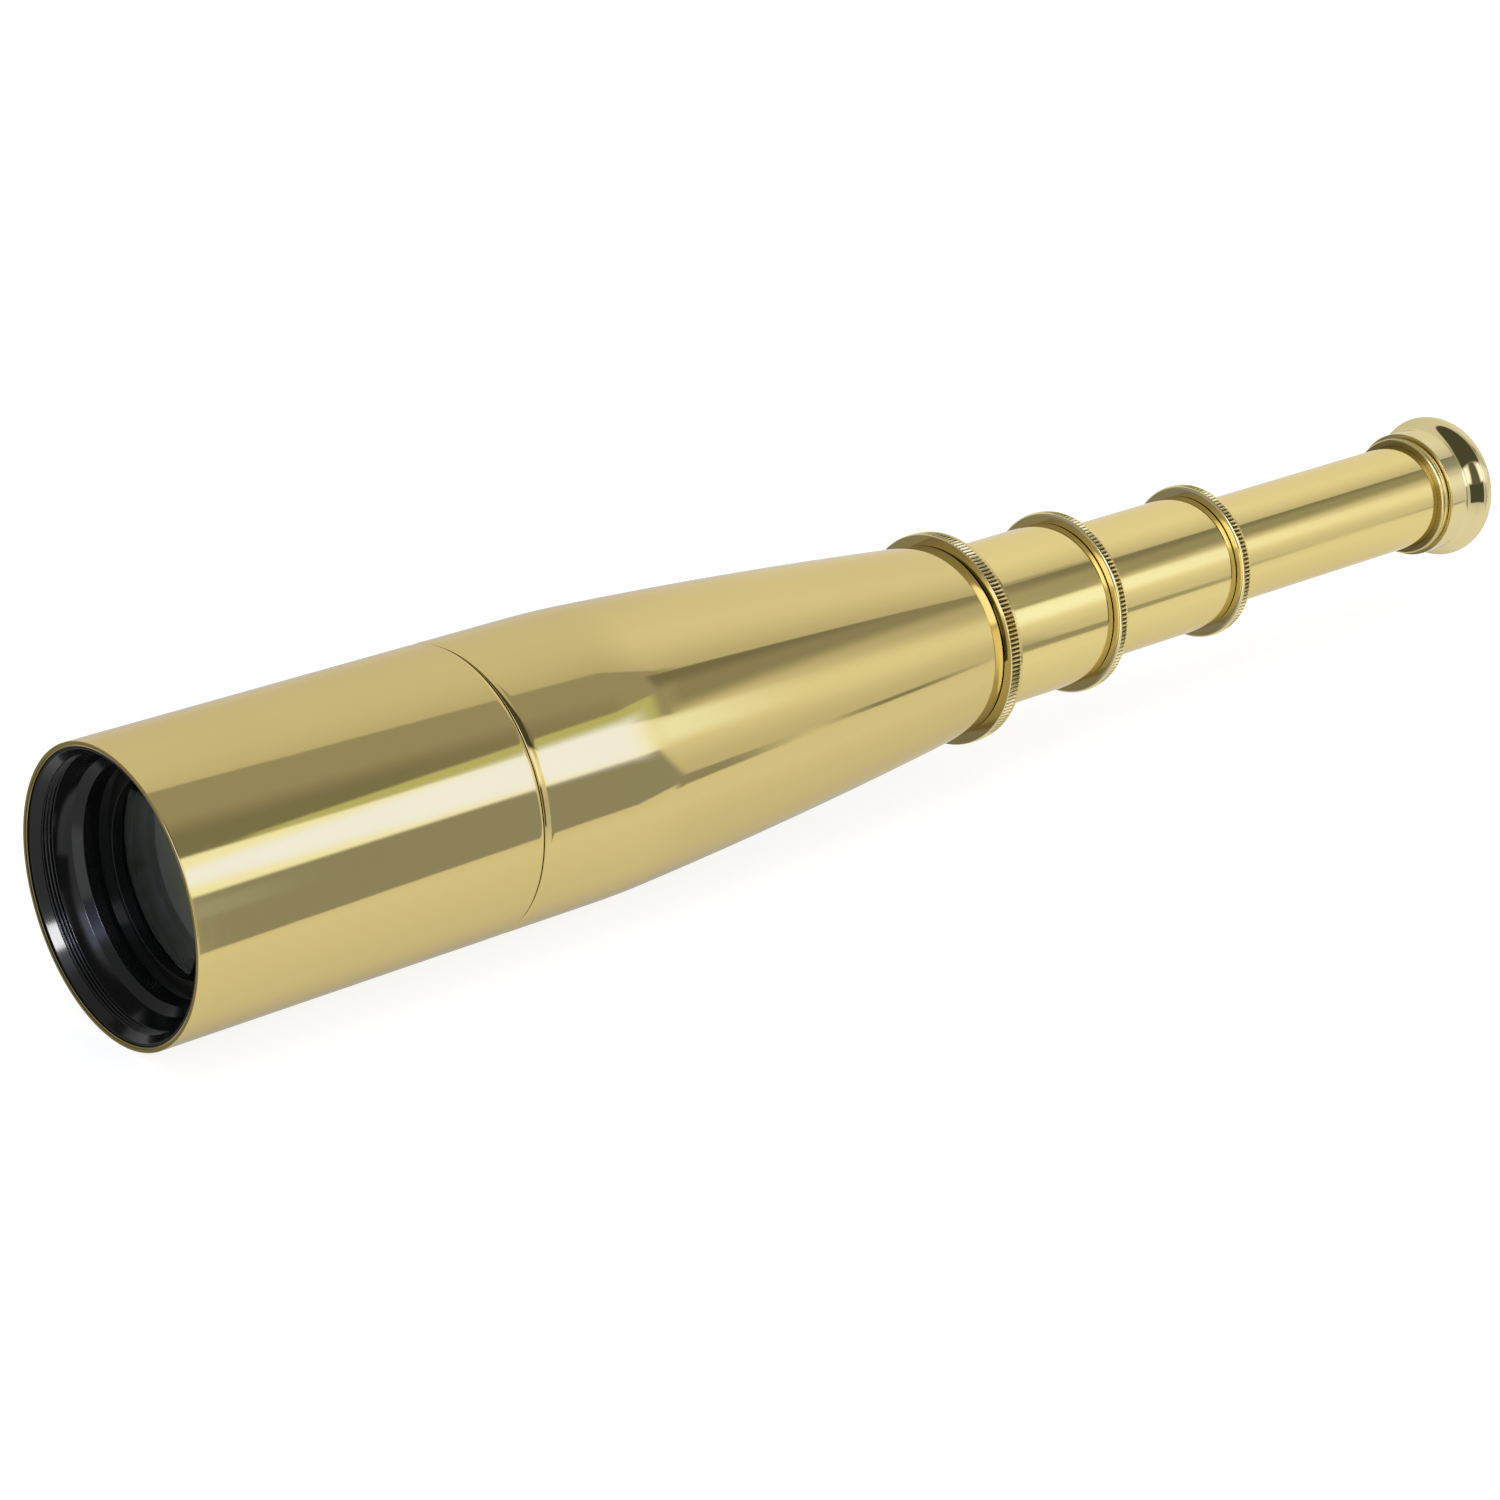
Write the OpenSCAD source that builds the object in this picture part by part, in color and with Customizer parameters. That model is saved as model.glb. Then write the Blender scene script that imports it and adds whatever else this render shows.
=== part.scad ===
// Hand-held brass spyglass with three sliding draws, drawn out to its full length.
// The optical axis is X. The origin is the middle of the objective rim, and the
// eyepiece is at the far +X end. Z is up. All sizes are millimetres.

/* [Barrel] */
// Outside diameter of the straight part of the barrel
barrel_d = 60; // [56:0.5:66]
// Wall of the barrel tubes
barrel_wall = 1.05; // [0.8:0.05:1.3]
// Length of the front tube, from the rim to the joint behind it
front_len = 79.2; // [70:0.1:90]
// Straight part of the rear shell, from the joint to the shoulder
straight_len = 29.3; // [18:0.1:40]
// Tapered part of the rear shell, from the shoulder to its end
taper_len = 102.25; // [92:0.05:115]
// Length over which the shoulder bends into the taper
shoulder_bend = 13; // [8:0.5:20]
// How far the taper bows outwards at its middle
taper_bow = 0.8; // [0:0.1:1.4]
// Line left open where the two barrel tubes meet
seam_gap = 0.25; // [0.15:0.05:0.5]
// Length of the rounded edge of the rear shell at the joint
seam_round = 2; // [1:0.1:3]
// Length of the rolled edge of the front tube at the joint
rolled_edge = 0.8; // [0.4:0.1:1.2]
// How far both rounded edges drop below the barrel's surface
edge_drop = 0.35; // [0.2:0.05:0.5]
// Length of the hidden sleeve that couples the two barrel tubes
coupling_len = 20; // [14:1:24]
// Wall of the coupling sleeve
coupling_wall = 1; // [0.8:0.1:1.2]

/* [Objective] */
// How far the black cell sits behind the brass rim
cell_inset = 0.5; // [0.3:0.1:1]
// Width of the flat land at the mouth of the cell
land_w = 0.57; // [0.4:0.01:0.8]
// Length of the bevel at the mouth of the cell
bevel_len = 1.7; // [1:0.1:2.2]
// How far the bevel narrows the mouth, in radius
bevel_drop = 1.3; // [0.9:0.1:1.6]
// Length of the accessory thread behind the bevel
thread_len = 2.7; // [2:0.1:3.5]
// Length of the narrowing bore behind the thread
throat_len = 2.96; // [2:0.02:4]
// How far that bore narrows, in radius
throat_drop = 1.7; // [1.2:0.1:2]
// Length of the pale bevel in front of the lens bore
step_len = 1.5; // [1:0.1:2]
// How far the pale bevel narrows, in radius
step_drop = 1.82; // [1.4:0.02:2.2]
// Free length of the lens bore in front of the retaining ring
recess_len = 3.33; // [2.5:0.01:4.5]
// Width of the retaining ring's face
ring_w = 3.55; // [2.5:0.05:4.5]
// How far the retaining ring's face is dished
ring_dish = 0.8; // [0.4:0.1:1.2]
// Thickness of the retaining ring at its opening
ring_lip = 1.95; // [1.2:0.05:2.4]
// Radius of the crown's two faces and of the flint's front face
crown_radius = 89.5; // [80:0.5:110]
// Thickness of the crown lens on the axis
crown_t = 9; // [8.2:0.1:10]
// Thickness of the flint lens on the axis
flint_t = 3.2; // [2.5:0.1:4.5]
// Width of the air gap between the two lenses
air_gap = 0.3; // [0.2:0.05:0.5]
// Width of the foil ring that sets the air gap
foil_w = 1; // [0.6:0.1:1.6]
// Width of the seat ledge behind the lenses
seat_w = 2; // [1:0.1:3]
// Thickness of the seat ledge
seat_t = 1.6; // [1:0.1:3]

/* [Baffle] */
// Opening of the baffle in the barrel
baffle_d = 34; // [28:1:40]
// Length of the baffle's rim
baffle_len = 6; // [4:0.5:8]
// Wall of the baffle
baffle_wall = 0.9; // [0.6:0.1:1.2]

/* [Draws] */
// Outside diameter of the eyepiece draw
eye_draw_d = 25; // [24:0.1:26]
// Wall of the three draw tubes
draw_wall = 0.8; // [0.6:0.05:1]
// Bare length of the first draw when it is pulled out
first_out = 32.9; // [27:0.1:39]
// Bare length of the second draw when it is pulled out
second_out = 40.5; // [34:0.1:48]
// Bare length of the eyepiece draw when it is pulled out
eyepiece_out = 72.2; // [62:0.1:82]
// Gap left between two collars when a draw is pushed in
closed_gap = 0.3; // [0.2:0.1:1]
// Gap between a stop ring and its guide sleeve when a draw is pulled out
stop_gap = 0.05; // [0.03:0.01:0.1]
// Radial gap between a draw and what it slides in
slide_gap = 0.06; // [0.03:0.01:0.09]
// Radial gap of screwed and soldered joints
joint_gap = 0.03; // [0.01:0.01:0.05]
// Length of the stop rings
stop_len = 6; // [4:0.5:8]
// Wall of the stop ring inside the barrel
barrel_stop_wall = 1.6; // [1:0.1:2.5]
// Spare length past a stop ring when its draw is pushed in
spare_len = 2; // [1:0.5:4]

/* [Guides] */
// Wall of the sprung guide sleeves
sleeve_wall = 0.52; // [0.4:0.02:0.7]
// Length of the shortest guide sleeve, the one for the eyepiece draw
sleeve_len = 36; // [30:1:44]
// Width of the slits that make a guide sleeve springy
slit_w = 1.2; // [0.8:0.1:2]
// Length of the slits
slit_len = 22; // [12:1:26]
// Number of spring fingers around a guide sleeve
fingers = 6; // [4:2:8]

/* [Rings] */
// Wall of the screwed spigot in front of each collar
spigot_wall = 0.5; // [0.4:0.05:0.7]
// Length of the spigot
spigot_len = 6; // [4:0.5:8]
// Wall of the threaded end ring inside the barrel
barrel_ring_wall = 0.48; // [0.4:0.02:0.8]
// Wall of the threaded end ring inside the first draw
first_ring_wall = 0.86; // [0.7:0.02:1.1]
// Wall of the threaded end ring inside the second draw
second_ring_wall = 1.19; // [1:0.01:1.4]
// Length of the end rings
end_ring_len = 7; // [6:0.5:10]
// Dark line left open between the end of a tube and its collar
line_gap = 0.22; // [0.15:0.01:0.3]
// How far the barrel's collar stands above the end of the barrel
barrel_collar_rise = 2.5; // [2:0.05:3]
// How far the collars on the draws stand above their tubes
draw_collar_rise = 2.25; // [1.8:0.05:2.7]
// Width of the collar on the barrel
barrel_collar_w = 3.4; // [2.8:0.1:4.2]
// Width of the collar on the first draw
first_collar_w = 2.4; // [2:0.1:3]
// Width of the collar on the second draw
second_collar_w = 2.5; // [2:0.1:3]
// Width of the smooth rear lip of the barrel's collar
rear_lip = 0.65; // [0.3:0.05:0.9]
// Width of the rounded front corner of the barrel's collar
barrel_round = 0.2; // [0.15:0.05:0.4]
// Width of the rounded front of the collars on the draws
draw_round = 0.5; // [0.3:0.05:0.6]
// Thickness of the web behind each guide sleeve
web_t = 0.8; // [0.6:0.05:1]
// Distance between two knurl teeth
knurl_pitch = 0.97; // [0.8:0.01:1.4]
// Depth of the knurl
knurl_depth = 0.4; // [0.2:0.05:0.5]

/* [Erector] */
// Length of the erector cell inside the eyepiece draw
erector_len = 52; // [46:1:60]
// Diameter of the small lenses
small_lens_d = 21; // [19:0.1:21.6]
// Width of the ledge that holds a small lens
ledge_w = 0.9; // [0.5:0.1:1.4]
// Thickness of the ledges
ledge_t = 1.2; // [0.8:0.1:2]
// Radius of the curved face of the erector lenses
erector_radius = 32; // [26:1:45]
// Thickness of the erector lenses on the axis
erector_t = 3.6; // [3.2:0.1:4.5]
// Opening of the stop between the erector lenses
erector_stop_d = 5; // [3:0.5:8]
// Wall of the spacer tubes between small lenses
spacer_wall = 0.7; // [0.5:0.1:1]
// Thickness of the stop plates in the spacers
stop_plate = 0.8; // [0.5:0.1:1.2]

/* [Eyepiece] */
// Length of the eyepiece cell in front of the draw's end
eye_cell_len = 32; // [26:1:40]
// Radius of the curved face of the field and eye lenses
eye_radius = 24; // [20:1:36]
// Thickness of the field lens on the axis
field_t = 4; // [3.6:0.1:5]
// Thickness of the eye lens on the axis
eye_t = 3.8; // [3.5:0.1:4.6]
// Opening of the field stop
field_stop_d = 13; // [9:0.5:15]
// Length of the screwed ring behind the eye lens
eye_ring_len = 1.6; // [1.2:0.1:2.2]
// How far the neck ring stands above the eyepiece draw
neck_rise = 1.6; // [1.2:0.1:1.8]
// Width of the neck ring
neck_ring_w = 2.2; // [1.8:0.1:3]
// Depth of the grooves around the neck ring
groove_depth = 0.4; // [0.2:0.05:0.5]
// How far the cup's neck stands above the eyepiece draw
cup_rise = 2.45; // [2.1:0.05:3]
// How far the cup's rim flares above its neck
cup_flare = 2.15; // [1.4:0.05:3]
// Length of the whole cup
cup_len = 14.8; // [14:0.1:17]
// Length of the cup's straight neck
cup_neck_len = 4.9; // [4:0.1:5.5]
// Height of the rounded rim
rim_round = 4; // [3.6:0.1:4.4]
// Length of the rounded rim along the axis
rim_reach = 4.4; // [3.9:0.1:4.6]
// Depth of the hollow for the eye, from the rim to the eye hole
eye_hollow = 5; // [4.5:0.1:5.5]
// Diameter of the eye hole
eye_hole_d = 12; // [9:0.5:14]
// Thickness of the cup's wall around the eye hole
eye_wall = 1.2; // [0.8:0.1:1.5]
// Wall of the cup's neck
cup_wall = 1.5; // [1.2:0.05:1.7]

/* [Hidden] */

$fn = 96;
lens_fn = 240;        // steps of the large balls that cut the lens faces
arc_steps = 6;        // steps of a small rounded edge
flare_steps = 12;     // steps of the cup's flare
flare_lean = 1.2;     // above 1, the flare is steepest behind its middle
bend_steps = 6;       // steps of the shoulder's bend
taper_steps = 14;     // steps along the bowed taper
mouth_chamfer = 0.3;  // inner edge of the brass rim
barrel_drop = 0.35;   // height of the rounded corner of the barrel's collar
draw_drop = 1.15;     // height of the rounded front of the collars on the draws
lip_drop = 0.12;      // how far a collar's smooth edges lie below the knurl's tips
knurl_bite = 0.3;     // how far the knurl ring reaches into its collar
draw_rear_lip = 0.25; // width of the rear lip of the collars on the draws
ring_inset = 0.2;     // how far the erector's ring sits inside its cell
rim_turn = 50;        // how far the cup's rim rolls inwards, in degrees
rim_step = 10;        // angle of one step around the cup's rim

brass = "#d3c68e";
pale_brass = "#dcd3ad";
dark_brass = "#4a4334";
black = "#1d1f1e";
glass = "#9aa39d";

// Radii, from the eyepiece draw outwards
eye_r = eye_draw_d / 2;
second_bore = hold_r(eye_r) + second_ring_wall + joint_gap;
second_r = second_bore + draw_wall;
first_bore = hold_r(second_r) + first_ring_wall + joint_gap;
first_r = first_bore + draw_wall;
end_bore = hold_r(first_r) + barrel_ring_wall + joint_gap;
end_r = end_bore + barrel_wall;
barrel_r = barrel_d / 2;
barrel_bore = barrel_r - barrel_wall;
sleeve_r = barrel_bore - joint_gap;
coupling_bore = sleeve_r - coupling_wall;

// Places along the axis, from the rim to the eyepiece
shoulder_x = front_len + straight_len;
barrel_end = shoulder_x + taper_len;
barrel_collar_x = barrel_end + line_gap;
first_end = barrel_collar_x + barrel_collar_w + first_out;
first_collar_x = first_end + line_gap;
second_end = first_collar_x + first_collar_w + second_out;
second_collar_x = second_end + line_gap;
neck_x = second_collar_x + second_collar_w + eyepiece_out;
tube_end = neck_x + neck_ring_w;

// Each draw starts where the draw inside it has room to travel when it is pushed in
eyepiece_start = second_collar_x - sleeve_len - stop_gap - stop_len;
eyepiece_travel = eyepiece_out - closed_gap;
second_start = eyepiece_start - eyepiece_travel - spare_len;
second_travel = second_out + line_gap - closed_gap;
first_start = second_start - second_travel - spare_len;

// Objective stack
thread_x = cell_inset + bevel_len;
thread_r = sleeve_r - land_w - bevel_drop;
throat_x = thread_x + thread_len;
step_x = throat_x + throat_len;
step_r = thread_r - throat_drop;
recess_x = step_x + step_len;
lens_bore = step_r - step_drop;
lens_r = lens_bore - joint_gap;
clear_r = lens_r - ring_w;
ring_x = recess_x + recess_len;
ring_back = ring_x + ring_dish + ring_lip;
crown_x = ring_back - sag(crown_radius, clear_r);
crown_back = crown_x + crown_t;
flint_x = crown_back + air_gap;
flint_back = flint_x + flint_t;
cell_end = flint_back + seat_t;

// Small lens stacks
small_r = small_lens_d / 2;
small_bore = small_r + joint_gap;
ledge_r = small_bore - ledge_w;
spacer_r = small_r - spacer_wall;
draw_fit_r = eye_r - draw_wall - joint_gap;
erector_front = eyepiece_start + ring_inset + ledge_t;
erector_end = eyepiece_start + erector_len;
erector_seat = erector_end - ledge_t;
eye_cell_x = tube_end - eye_cell_len;
field_x = eye_cell_x + ledge_t - sag(eye_radius, ledge_r);
cup_x = tube_end + line_gap;
cup_end = cup_x + cup_len;
cup_neck_r = eye_r + cup_rise;
cup_rim_r = cup_neck_r + cup_flare;
eye_hole_x = cup_end - eye_hollow - eye_wall;
cell_back = eye_hole_x - joint_gap;
flange_r = cup_neck_r - cup_wall - joint_gap;
eye_back = cell_back - eye_ring_len;

// How far a ball-shaped face drops at distance r from the axis
function sag(r_face, r) = r_face - sqrt(r_face * r_face - r * r);
// Bore of the sprung sleeve's seat around a draw of radius r
function seat_r(r) = r + slide_gap + sleeve_wall + joint_gap;
// Bore of the end ring that takes the collar's spigot
function hold_r(r) = seat_r(r) + spigot_wall + joint_gap;
// Points of an elliptical edge around [cx, cr], from angle a0 to a1 in n steps
function edge(cx, cr, ex, er, a0, a1, n = arc_steps) = [for (i = [0:n])
    let (a = a0 + (a1 - a0) * i / n) [cx + ex * cos(a), cr + er * sin(a)]];
// Radius of the bowed taper at the share u of its length
function bowed_r(u) = barrel_r + (end_r - barrel_r) * u + 4 * taper_bow * u * (1 - u);
// Points along the bent shoulder and the taper, at a depth below the outer face
function taper(depth) = let (u0 = shoulder_bend / 2 / taper_len) concat(
    [for (i = [0:bend_steps]) let (t = i / bend_steps)
        [shoulder_x + shoulder_bend * (t - 0.5),
         barrel_r - (barrel_r - bowed_r(u0)) * t * t - depth]],
    [for (i = [1:taper_steps]) let (u = u0 + (1 - u0) * i / taper_steps)
        [shoulder_x + taper_len * u, bowed_r(u) - depth]]);
// Points of a smooth rise from [x0, r0] to [x1, r1], level at both ends
function ease(x0, r0, x1, r1) = [for (i = [0:flare_steps]) let (u = i / flare_steps)
    [x0 + (x1 - x0) * u, r0 + (r1 - r0) * (1 - cos(180 * pow(u, flare_lean))) / 2]];
function backwards(list) = [for (i = [len(list) - 1:-1:0]) list[i]];

// Turns an outline of [x, radius] points about the optical axis
module turn(outline) {
    rotate([0, 90, 0])
        rotate_extrude()
            polygon([for (p = outline) [p[1], p[0]]]);
}

module pipe(x0, x1, r_in, r_out) {
    turn([[x0, r_in], [x1, r_in], [x1, r_out], [x0, r_out]]);
}

module disc(x0, x1, r) {
    translate([x0, 0, 0])
        rotate([0, 90, 0])
            cylinder(r = r, h = x1 - x0);
}

// A ball on the axis, for lens faces
module ball(x, r) {
    translate([x, 0, 0])
        rotate([0, 90, 0])
            sphere(r = r, $fn = lens_fn);
}

// A small lens from x, flat on one side and bulging towards the front or the rear
module small_lens(x, t, r_face, bulge) {
    intersection() {
        disc(x, x + t, small_r);
        ball(bulge == "front" ? x + r_face : x + t - r_face, r_face);
    }
}

// A black tube between two small lenses, with a stop plate in its middle
module spacer(x0, x1, stop_d) {
    mid = (x0 + x1) / 2;
    turn([[x0, spacer_r], [mid - stop_plate / 2, spacer_r], [mid - stop_plate / 2, stop_d / 2],
          [mid + stop_plate / 2, stop_d / 2], [mid + stop_plate / 2, spacer_r], [x1, spacer_r],
          [x1, small_r], [x0, small_r]]);
}

// A thin sleeve around a draw of radius r, slit into spring fingers at its front
module guide_sleeve(x0, x1, r) {
    r_in = r + slide_gap;
    r_out = r_in + sleeve_wall;
    difference() {
        pipe(x0, x1, r_in, r_out);
        for (i = [0:fingers / 2 - 1])
            rotate([360 * i / fingers, 0, 0])
                translate([x0 - slit_len, -slit_w / 2, -2 * r_out])
                    cube([2 * slit_len, slit_w, 4 * r_out]);
    }
}

// The threaded ring inside the end of a tube, around a draw of radius r
module end_ring(x, r, bore) {
    pipe(x - end_ring_len, x, hold_r(r), bore - joint_gap);
}

// A knurled collar that screws into an end ring and holds the guide sleeve
module collar(x, w, r_draw, knurl_r, lip, front_round, corner_drop) {
    r_seat = seat_r(r_draw);
    r_spigot = r_seat + spigot_wall;
    r_web = r_draw + slide_gap + joint_gap;
    r_core = knurl_r - knurl_depth - knurl_bite / 2;
    knurl_x = x + front_round;
    lip_x = x + w - lip;
    turn(concat(
        [[x - spigot_len, r_seat], [x - spigot_len, r_spigot], [x, r_spigot]],
        edge(knurl_x, knurl_r - corner_drop, front_round, corner_drop - lip_drop, 180, 90),
        [[knurl_x, r_core], [lip_x, r_core], [lip_x, knurl_r - lip_drop],
         [x + w, knurl_r - lip_drop], [x + w, r_web], [x + w - web_t, r_web],
         [x + w - web_t, r_seat]]));
    translate([knurl_x, 0, 0])
        rotate([0, 90, 0])
            linear_extrude(lip_x - knurl_x)
                knurl_outline(knurl_r, r_core - knurl_bite);
}

// A ring with straight V-shaped teeth around it
module knurl_outline(tip_r, inner_r) {
    teeth = round(2 * PI * tip_r / knurl_pitch);
    difference() {
        polygon([for (i = [0:2 * teeth - 1])
            let (a = 180 * i / teeth, r = tip_r - (i % 2) * knurl_depth) [r * cos(a), r * sin(a)]]);
        circle(r = inner_r);
    }
}

module objective_tube() {
    back = front_len - seam_gap / 2;
    color(brass)
        turn(concat(
            [[0, barrel_bore + mouth_chamfer], [0, barrel_r]],
            edge(back - rolled_edge, barrel_r - edge_drop, rolled_edge, edge_drop, 90, 0),
            [[back, barrel_bore], [mouth_chamfer, barrel_bore]]));
}

module tapered_barrel() {
    front = front_len + seam_gap / 2;
    color(brass)
        turn(concat(
            edge(front + seam_round, barrel_r - edge_drop, seam_round, edge_drop, 180, 90),
            taper(0),
            backwards(taper(barrel_wall)),
            [[front, barrel_bore]]));
}

module coupling_sleeve() {
    color(dark_brass)
        pipe(front_len - coupling_len / 2, front_len + coupling_len / 2, coupling_bore, sleeve_r);
}

module lens_cell() {
    color(black)
        turn([[cell_inset, sleeve_r], [cell_inset, sleeve_r - land_w], [thread_x, thread_r],
              [throat_x, thread_r], [step_x, step_r], [recess_x, lens_bore],
              [flint_back, lens_bore], [flint_back, lens_bore - seat_w],
              [cell_end, lens_bore - seat_w], [cell_end, sleeve_r]]);
}

module retaining_ring() {
    color(black)
        turn([[ring_x, lens_r], [ring_x + ring_dish, clear_r], [ring_back, clear_r],
              [ring_back, lens_r]]);
}

module objective_crown() {
    color(glass)
        intersection() {
            disc(crown_x, crown_back, lens_r);
            ball(crown_x + crown_radius, crown_radius);
            ball(crown_back - crown_radius, crown_radius);
        }
}

module lens_spacer() {
    r_in = lens_r - foil_w;
    color(dark_brass)
        turn([for (p = [[crown_back, r_in], [flint_x, r_in], [flint_x, lens_r], [crown_back, lens_r]])
              [p[0] - sag(crown_radius, p[1]), p[1]]]);
}

module objective_flint() {
    color(glass)
        difference() {
            disc(flint_x - sag(crown_radius, lens_r), flint_back, lens_r);
            ball(flint_x - crown_radius, crown_radius);
        }
}

module barrel_baffle() {
    r_out = coupling_bore - joint_gap;
    back = front_len + coupling_len / 2;
    color(black)
        turn([[back - baffle_len, r_out], [back - baffle_len, r_out - baffle_wall],
              [back - baffle_wall, r_out - baffle_wall], [back - baffle_wall, baffle_d / 2],
              [back, baffle_d / 2], [back, r_out]]);
}

module barrel_end_ring() {
    color(brass)
        end_ring(barrel_end, first_r, end_bore);
}

module barrel_collar() {
    color(brass)
        collar(barrel_collar_x, barrel_collar_w, first_r, end_r + barrel_collar_rise,
               rear_lip, barrel_round, barrel_drop);
}

module barrel_guide() {
    color(dark_brass)
        guide_sleeve(first_start + stop_len + stop_gap,
                     barrel_collar_x + barrel_collar_w - web_t, first_r);
}

module first_draw_tube() {
    color(brass)
        pipe(first_start, first_end, first_bore, first_r);
}

module first_draw_stop() {
    color(dark_brass)
        pipe(first_start, first_start + stop_len, first_r + joint_gap,
             first_r + joint_gap + barrel_stop_wall);
}

module first_end_ring() {
    color(brass)
        end_ring(first_end, second_r, first_bore);
}

module first_collar() {
    color(brass)
        collar(first_collar_x, first_collar_w, second_r, first_r + draw_collar_rise,
               draw_rear_lip, draw_round, draw_drop);
}

module first_guide() {
    color(dark_brass)
        guide_sleeve(second_start + stop_len + stop_gap,
                     first_collar_x + first_collar_w - web_t, second_r);
}

module second_draw_tube() {
    color(brass)
        pipe(second_start, second_end, second_bore, second_r);
}

module second_draw_stop() {
    color(dark_brass)
        pipe(second_start, second_start + stop_len, second_r + joint_gap, first_bore - slide_gap);
}

module second_end_ring() {
    color(brass)
        end_ring(second_end, eye_r, second_bore);
}

module second_collar() {
    color(brass)
        collar(second_collar_x, second_collar_w, eye_r, second_r + draw_collar_rise,
               draw_rear_lip, draw_round, draw_drop);
}

module second_guide() {
    color(dark_brass)
        guide_sleeve(eyepiece_start + stop_len + stop_gap,
                     second_collar_x + second_collar_w - web_t, eye_r);
}

module eyepiece_draw_tube() {
    color(brass)
        pipe(eyepiece_start, tube_end, eye_r - draw_wall, eye_r);
}

module eyepiece_draw_stop() {
    color(dark_brass)
        pipe(eyepiece_start, eyepiece_start + stop_len, eye_r + joint_gap, second_bore - slide_gap);
}

module erector_cell() {
    color(dark_brass)
        turn([[eyepiece_start, small_bore], [erector_seat, small_bore], [erector_seat, ledge_r],
              [erector_end, ledge_r], [erector_end, draw_fit_r], [eyepiece_start, draw_fit_r]]);
}

module erector_ring() {
    color(black)
        pipe(eyepiece_start + ring_inset, erector_front, ledge_r, small_r);
}

module erector_front_lens() {
    color(glass)
        small_lens(erector_front, erector_t, erector_radius, "rear");
}

module erector_spacer() {
    drop = erector_t - sag(erector_radius, spacer_r);
    color(black)
        spacer(erector_front + drop, erector_seat - drop, erector_stop_d);
}

module erector_rear_lens() {
    color(glass)
        small_lens(erector_seat - erector_t, erector_t, erector_radius, "front");
}

module eyepiece_cell() {
    color(dark_brass)
        turn([[eye_cell_x, ledge_r], [eye_cell_x, draw_fit_r], [tube_end, draw_fit_r],
              [tube_end, flange_r], [cell_back, flange_r], [cell_back, small_bore],
              [eye_cell_x + ledge_t, small_bore], [eye_cell_x + ledge_t, ledge_r]]);
}

module field_lens() {
    color(glass)
        small_lens(field_x, field_t, eye_radius, "front");
}

module eyepiece_spacer() {
    color(black)
        spacer(field_x + field_t, eye_back - eye_t + sag(eye_radius, spacer_r), field_stop_d);
}

module eye_lens() {
    color(glass)
        small_lens(eye_back - eye_t, eye_t, eye_radius, "front");
}

module eye_lens_ring() {
    color(black)
        pipe(eye_back, cell_back, ledge_r, small_r);
}

module neck_ring() {
    r_in = eye_r + joint_gap;
    r_out = eye_r + neck_rise;
    quarter = neck_ring_w / 4;
    color(brass)
        turn([[neck_x, r_in], [neck_x, r_out - groove_depth], [neck_x + quarter / 2, r_out],
              [neck_x + quarter, r_out], [neck_x + quarter * 1.3, r_out - groove_depth],
              [neck_x + quarter * 1.7, r_out - groove_depth], [neck_x + quarter * 2, r_out],
              [tube_end - groove_depth / 2, r_out], [tube_end, r_out - groove_depth],
              [tube_end, r_in]]);
}

module eyepiece_cup() {
    bore = flange_r + joint_gap;
    hole = eye_hole_d / 2;
    rim_x = cup_end - rim_reach;
    color(pale_brass)
        turn(concat(
            [[cup_x, bore], [cup_x, cup_neck_r - groove_depth / 2],
             [cup_x + groove_depth / 2, cup_neck_r]],
            ease(cup_x + cup_neck_len, cup_neck_r, rim_x, cup_rim_r),
            edge(rim_x, cup_rim_r - rim_round, rim_reach, rim_round, 90 - rim_step, -rim_turn,
                 (90 - rim_step + rim_turn) / rim_step),
            [[cup_end - eye_hollow, hole], [eye_hole_x, hole], [eye_hole_x, bore]]));
}

objective_tube();
tapered_barrel();
coupling_sleeve();
lens_cell();
retaining_ring();
objective_crown();
lens_spacer();
objective_flint();
barrel_baffle();
barrel_end_ring();
barrel_collar();
barrel_guide();
first_draw_tube();
first_draw_stop();
first_end_ring();
first_collar();
first_guide();
second_draw_tube();
second_draw_stop();
second_end_ring();
second_collar();
second_guide();
eyepiece_draw_tube();
eyepiece_draw_stop();
erector_cell();
erector_front_lens();
erector_spacer();
erector_rear_lens();
erector_ring();
eyepiece_cell();
field_lens();
eyepiece_spacer();
eye_lens();
eye_lens_ring();
neck_ring();
eyepiece_cup();
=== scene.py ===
import math

import bpy
import bmesh
import numpy as np
from mathutils import Matrix, Vector


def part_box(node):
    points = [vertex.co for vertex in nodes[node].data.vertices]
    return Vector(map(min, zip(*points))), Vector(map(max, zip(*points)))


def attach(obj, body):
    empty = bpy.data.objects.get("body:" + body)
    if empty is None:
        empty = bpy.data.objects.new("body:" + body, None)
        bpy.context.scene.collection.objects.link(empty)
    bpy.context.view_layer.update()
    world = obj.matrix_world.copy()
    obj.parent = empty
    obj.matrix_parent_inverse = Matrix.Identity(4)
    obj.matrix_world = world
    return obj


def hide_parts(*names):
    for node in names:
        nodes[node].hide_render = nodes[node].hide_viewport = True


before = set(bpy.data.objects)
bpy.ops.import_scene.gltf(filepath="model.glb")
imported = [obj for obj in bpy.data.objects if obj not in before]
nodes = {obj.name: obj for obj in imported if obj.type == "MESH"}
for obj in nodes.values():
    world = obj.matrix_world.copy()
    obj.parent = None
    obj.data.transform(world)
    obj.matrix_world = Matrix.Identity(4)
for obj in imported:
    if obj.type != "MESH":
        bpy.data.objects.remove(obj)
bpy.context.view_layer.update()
metre = 0.001  # one millimetre in Blender's metres
print("frame loaded:", len(nodes), "nodes")

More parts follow.
